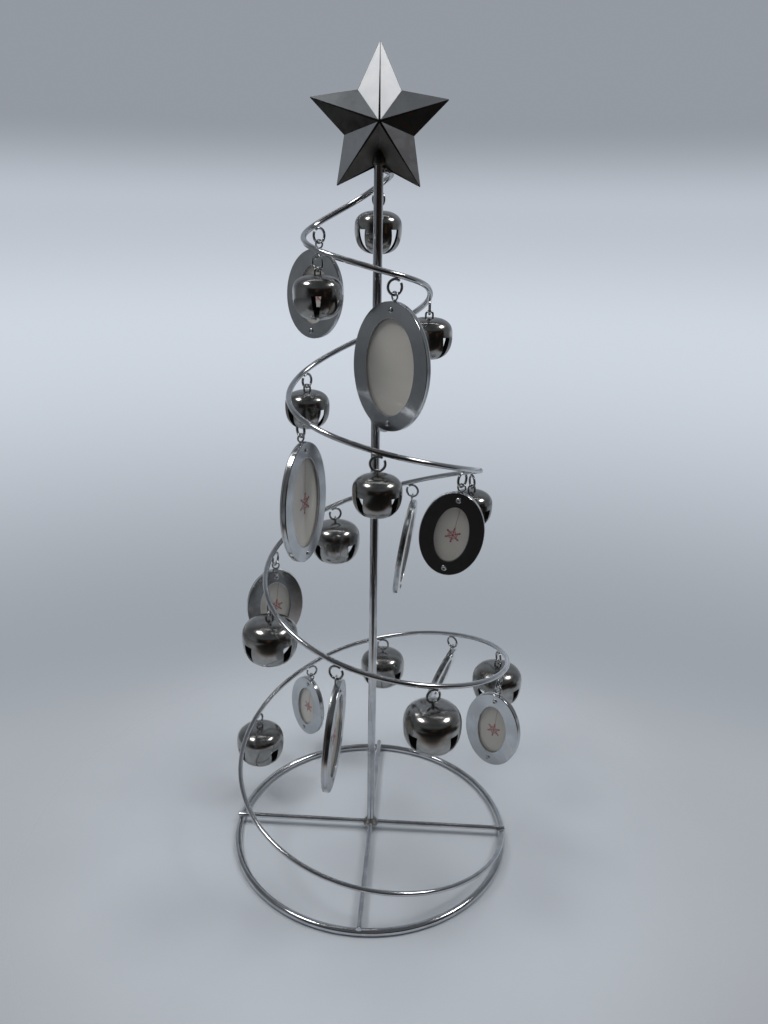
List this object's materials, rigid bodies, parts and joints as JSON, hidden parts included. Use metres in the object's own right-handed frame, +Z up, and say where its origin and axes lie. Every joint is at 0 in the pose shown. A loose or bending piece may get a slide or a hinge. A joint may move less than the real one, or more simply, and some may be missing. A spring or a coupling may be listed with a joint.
{
  "type": "photo tree stand",
  "caption": "Free-standing wire spiral round a pole on a ring base, topped by a faceted star, with jingle bells and oval photo frames hanging from rings on the spiral.",
  "frame": {"origin": "on the floor under the middle of the base ring, on the pole's axis", "axes": "+Z up along the pole; +X to the right along the side rod; the star's front and most frames look towards -Y"},
  "size_m": [0.1916, 0.1953, 0.469],
  "materials": {
    "base_steel": "polished",
    "rod_steel": "polished",
    "weld_bead": "plated over a rough weld",
    "pole_steel": "polished",
    "coil_steel": "polished",
    "hanger_steel": "polished",
    "star_steel": "polished",
    "bell_steel": "mirror polished",
    "frame_rim_steel": "satin to polished",
    "frame_back_steel": "satin",
    "photo_insert": "printed card under clear sheet"
  },
  "bodies": {
    "stand": {"base_ring": "base_steel", "side_rod": "rod_steel", "front_rod": "rod_steel", "rear_rod": "rod_steel", "foot_weld": "weld_bead", "centre_pole": "pole_steel", "coil": "coil_steel", "hanger_rings": "hanger_steel", "star_front": "star_steel", "star_back": "star_steel"},
    "bell_1": {"bell_1": "bell_steel"},
    "bell_2": {"bell_2": "bell_steel"},
    "bell_3": {"bell_3": "bell_steel"},
    "bell_4": {"bell_4": "bell_steel"},
    "bell_5": {"bell_5": "bell_steel"},
    "bell_6": {"bell_6": "bell_steel"},
    "bell_7": {"bell_7": "bell_steel"},
    "bell_8": {"bell_8": "bell_steel"},
    "bell_9": {"bell_9": "bell_steel"},
    "bell_10": {"bell_10": "bell_steel"},
    "bell_11": {"bell_11": "bell_steel"},
    "bell_12": {"bell_12": "bell_steel"},
    "frame_1": {"frame_1_rim": "frame_rim_steel", "frame_1_back": "frame_back_steel", "frame_1_photo": "photo_insert"},
    "frame_2": {"frame_2_rim": "frame_rim_steel", "frame_2_back": "frame_back_steel", "frame_2_photo": "photo_insert"},
    "frame_3": {"frame_3_rim": "frame_rim_steel", "frame_3_back": "frame_back_steel", "frame_3_photo": "photo_insert"},
    "frame_4": {"frame_4_rim": "frame_rim_steel", "frame_4_back": "frame_back_steel", "frame_4_photo": "photo_insert"},
    "frame_5": {"frame_5_rim": "frame_rim_steel", "frame_5_back": "frame_back_steel", "frame_5_photo": "photo_insert"},
    "frame_6": {"frame_6_rim": "frame_rim_steel", "frame_6_back": "frame_back_steel", "frame_6_photo": "photo_insert"},
    "frame_7": {"frame_7_rim": "frame_rim_steel", "frame_7_back": "frame_back_steel", "frame_7_photo": "photo_insert"},
    "frame_8": {"frame_8_rim": "frame_rim_steel", "frame_8_back": "frame_back_steel", "frame_8_photo": "photo_insert"},
    "frame_9": {"frame_9_rim": "frame_rim_steel", "frame_9_back": "frame_back_steel", "frame_9_photo": "photo_insert"},
    "frame_10": {"frame_10_rim": "frame_rim_steel", "frame_10_back": "frame_back_steel", "frame_10_photo": "photo_insert"},
    "frame_11": {"frame_11_rim": "frame_rim_steel", "frame_11_back": "frame_back_steel", "frame_11_photo": "photo_insert"}
  },
  "joints": [
    {"name": "bell_1_swing", "type": "hinge", "parent": "stand", "child": "bell_1", "pos_m": [-0.00093, 0.01621, 0.39358], "axis": [0.8156, -0.5786, 0], "range_deg": [-5, 35]},
    {"name": "bell_2_swing", "type": "hinge", "parent": "stand", "child": "bell_2", "pos_m": [-0.02834, -0.02472, 0.36273], "axis": [-0.7407, 0.6719, 0], "range_deg": [-35, 35]},
    {"name": "bell_3_swing", "type": "hinge", "parent": "stand", "child": "bell_3", "pos_m": [0.02806, 0.00073, 0.3402], "axis": [0.0214, -0.9998, 0], "range_deg": [-35, 35]},
    {"name": "bell_4_swing", "type": "hinge", "parent": "stand", "child": "bell_4", "pos_m": [-0.04055, 0.01484, 0.29614], "axis": [0.5212, 0.8535, 0], "range_deg": [-35, 35]},
    {"name": "bell_5_swing", "type": "hinge", "parent": "stand", "child": "bell_5", "pos_m": [0.00512, -0.05739, 0.26928], "axis": [-0.9997, -0.024, 0], "range_deg": [-35, 35]},
    {"name": "bell_6_swing", "type": "hinge", "parent": "stand", "child": "bell_6", "pos_m": [0.05662, 0.01807, 0.23789], "axis": [0.3266, -0.9452, 0], "range_deg": [-35, 35]},
    {"name": "bell_7_swing", "type": "hinge", "parent": "stand", "child": "bell_7", "pos_m": [-0.02896, 0.05139, 0.20244], "axis": [0.8929, 0.4503, 0], "range_deg": [-35, 35]},
    {"name": "bell_8_swing", "type": "hinge", "parent": "stand", "child": "bell_8", "pos_m": [-0.05721, -0.03223, 0.17338], "axis": [-0.413, 0.9107, 0], "range_deg": [-35, 35]},
    {"name": "bell_9_swing", "type": "hinge", "parent": "stand", "child": "bell_9", "pos_m": [0.03736, -0.0663, 0.14324], "axis": [-0.917, -0.399, 0], "range_deg": [-35, 35]},
    {"name": "bell_10_swing", "type": "hinge", "parent": "stand", "child": "bell_10", "pos_m": [0.08028, 0.02562, 0.11644], "axis": [0.2697, -0.9629, 0], "range_deg": [-35, 35]},
    {"name": "bell_11_swing", "type": "hinge", "parent": "stand", "child": "bell_11", "pos_m": [0.0018, 0.08599, 0.08909], "axis": [0.9997, -0.024, 0], "range_deg": [-35, 35]},
    {"name": "bell_12_swing", "type": "hinge", "parent": "stand", "child": "bell_12", "pos_m": [-0.07934, 0.02903, 0.0581], "axis": [0.3298, 0.944, 0], "range_deg": [-35, 35]},
    {"name": "frame_1_swing", "type": "hinge", "parent": "stand", "child": "frame_1", "pos_m": [-0.0324, 0.01244, 0.37497], "axis": [0.659, 0.7521, 0], "range_deg": [-28, 35]},
    {"name": "frame_2_swing", "type": "hinge", "parent": "stand", "child": "frame_2", "pos_m": [0.01076, -0.03038, 0.35234], "axis": [-0.8864, -0.4629, 0], "range_deg": [-21, 35]},
    {"name": "frame_3_swing", "type": "hinge", "parent": "stand", "child": "frame_3", "pos_m": [0.00274, 0.03262, 0.31807], "axis": [0.9687, -0.2482, 0], "range_deg": [-32, 35]},
    {"name": "frame_4_swing", "type": "hinge", "parent": "stand", "child": "frame_4", "pos_m": [-0.03619, -0.03814, 0.28065], "axis": [-0.6183, 0.7859, 0], "range_deg": [-32, 35]},
    {"name": "frame_5_swing", "type": "hinge", "parent": "stand", "child": "frame_5", "pos_m": [0.04843, -0.03442, 0.25517], "axis": [-0.5905, -0.807, 0], "range_deg": [-35, 35]},
    {"name": "frame_6_swing", "type": "hinge", "parent": "stand", "child": "frame_6", "pos_m": [0.02075, 0.05407, 0.21917], "axis": [0.9387, -0.3448, 0], "range_deg": [-35, 35]},
    {"name": "frame_7_swing", "type": "hinge", "parent": "stand", "child": "frame_7", "pos_m": [-0.0612, 0.01101, 0.18656], "axis": [0.2452, 0.9695, 0], "range_deg": [-35, 35]},
    {"name": "frame_8_swing", "type": "hinge", "parent": "stand", "child": "frame_8", "pos_m": [-0.01475, -0.06939, 0.15689], "axis": [-0.9553, 0.2957, 0], "range_deg": [-35, 35]},
    {"name": "frame_9_swing", "type": "hinge", "parent": "stand", "child": "frame_9", "pos_m": [0.07581, -0.0291, 0.13016], "axis": [-0.4299, -0.9029, 0], "range_deg": [-35, 35]},
    {"name": "frame_10_swing", "type": "hinge", "parent": "stand", "child": "frame_10", "pos_m": [0.05171, 0.06813, 0.10329], "axis": [0.7875, -0.6163, 0], "range_deg": [-35, 35]},
    {"name": "frame_11_swing", "type": "hinge", "parent": "stand", "child": "frame_11", "pos_m": [-0.04878, 0.07018, 0.07344], "axis": [0.8103, 0.5861, 0], "range_deg": [-35, 35]}
  ]
}
